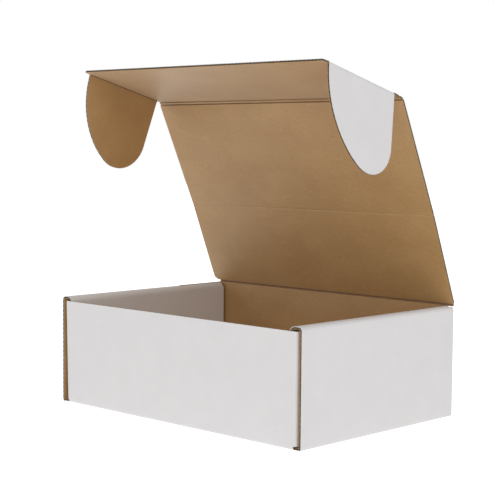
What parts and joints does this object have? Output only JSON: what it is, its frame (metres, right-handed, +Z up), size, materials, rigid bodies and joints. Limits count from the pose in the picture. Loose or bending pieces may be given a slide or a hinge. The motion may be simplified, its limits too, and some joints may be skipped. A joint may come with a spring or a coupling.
{
  "type": "corrugated mailer box",
  "caption": "Open mailer box folded from white-faced corrugated board, with rolled side walls, a hinged lid and a front flap with rounded tuck ears.",
  "frame": {"origin": "middle of the underside of the base, which the box stands on", "axes": "+Z up, -Y towards the front wall, +X towards the box's right side as seen from the front"},
  "size_m": [0.2392, 0.155, 0.2341],
  "materials": {
    "white_face_board": "matte white paper outside, brown kraft inside",
    "kraft_face_board": "matte brown kraft inside, white paper outside"
  },
  "bodies": {
    "tray": {"tray": "white_face_board"},
    "lid": {"lid": "kraft_face_board"},
    "front_flap": {"front_flap": "kraft_face_board"},
    "right_ear": {"right_ear": "kraft_face_board"},
    "left_ear": {"left_ear": "kraft_face_board"}
  },
  "joints": [
    {"name": "lid_hinge", "type": "hinge", "parent": "tray", "child": "lid", "pos_m": [0, 0.0775, 0.0766], "axis": [-1, 0, 0], "range_deg": [-37.6, 112.4]},
    {"name": "front_flap_hinge", "type": "hinge", "parent": "lid", "child": "front_flap", "pos_m": [0, 0.01467, 0.21505], "axis": [1, 0, 0], "range_deg": [-50.3, 39.7]},
    {"name": "right_ear_hinge", "type": "hinge", "parent": "front_flap", "child": "right_ear", "pos_m": [0.1115, 0.01467, 0.21505], "axis": [0, 0.9673, -0.2538], "range_deg": [-82, 8]},
    {"name": "left_ear_hinge", "type": "hinge", "parent": "front_flap", "child": "left_ear", "pos_m": [-0.1115, 0.01467, 0.21505], "axis": [0, -0.9673, 0.2538], "range_deg": [-82, 8]}
  ]
}
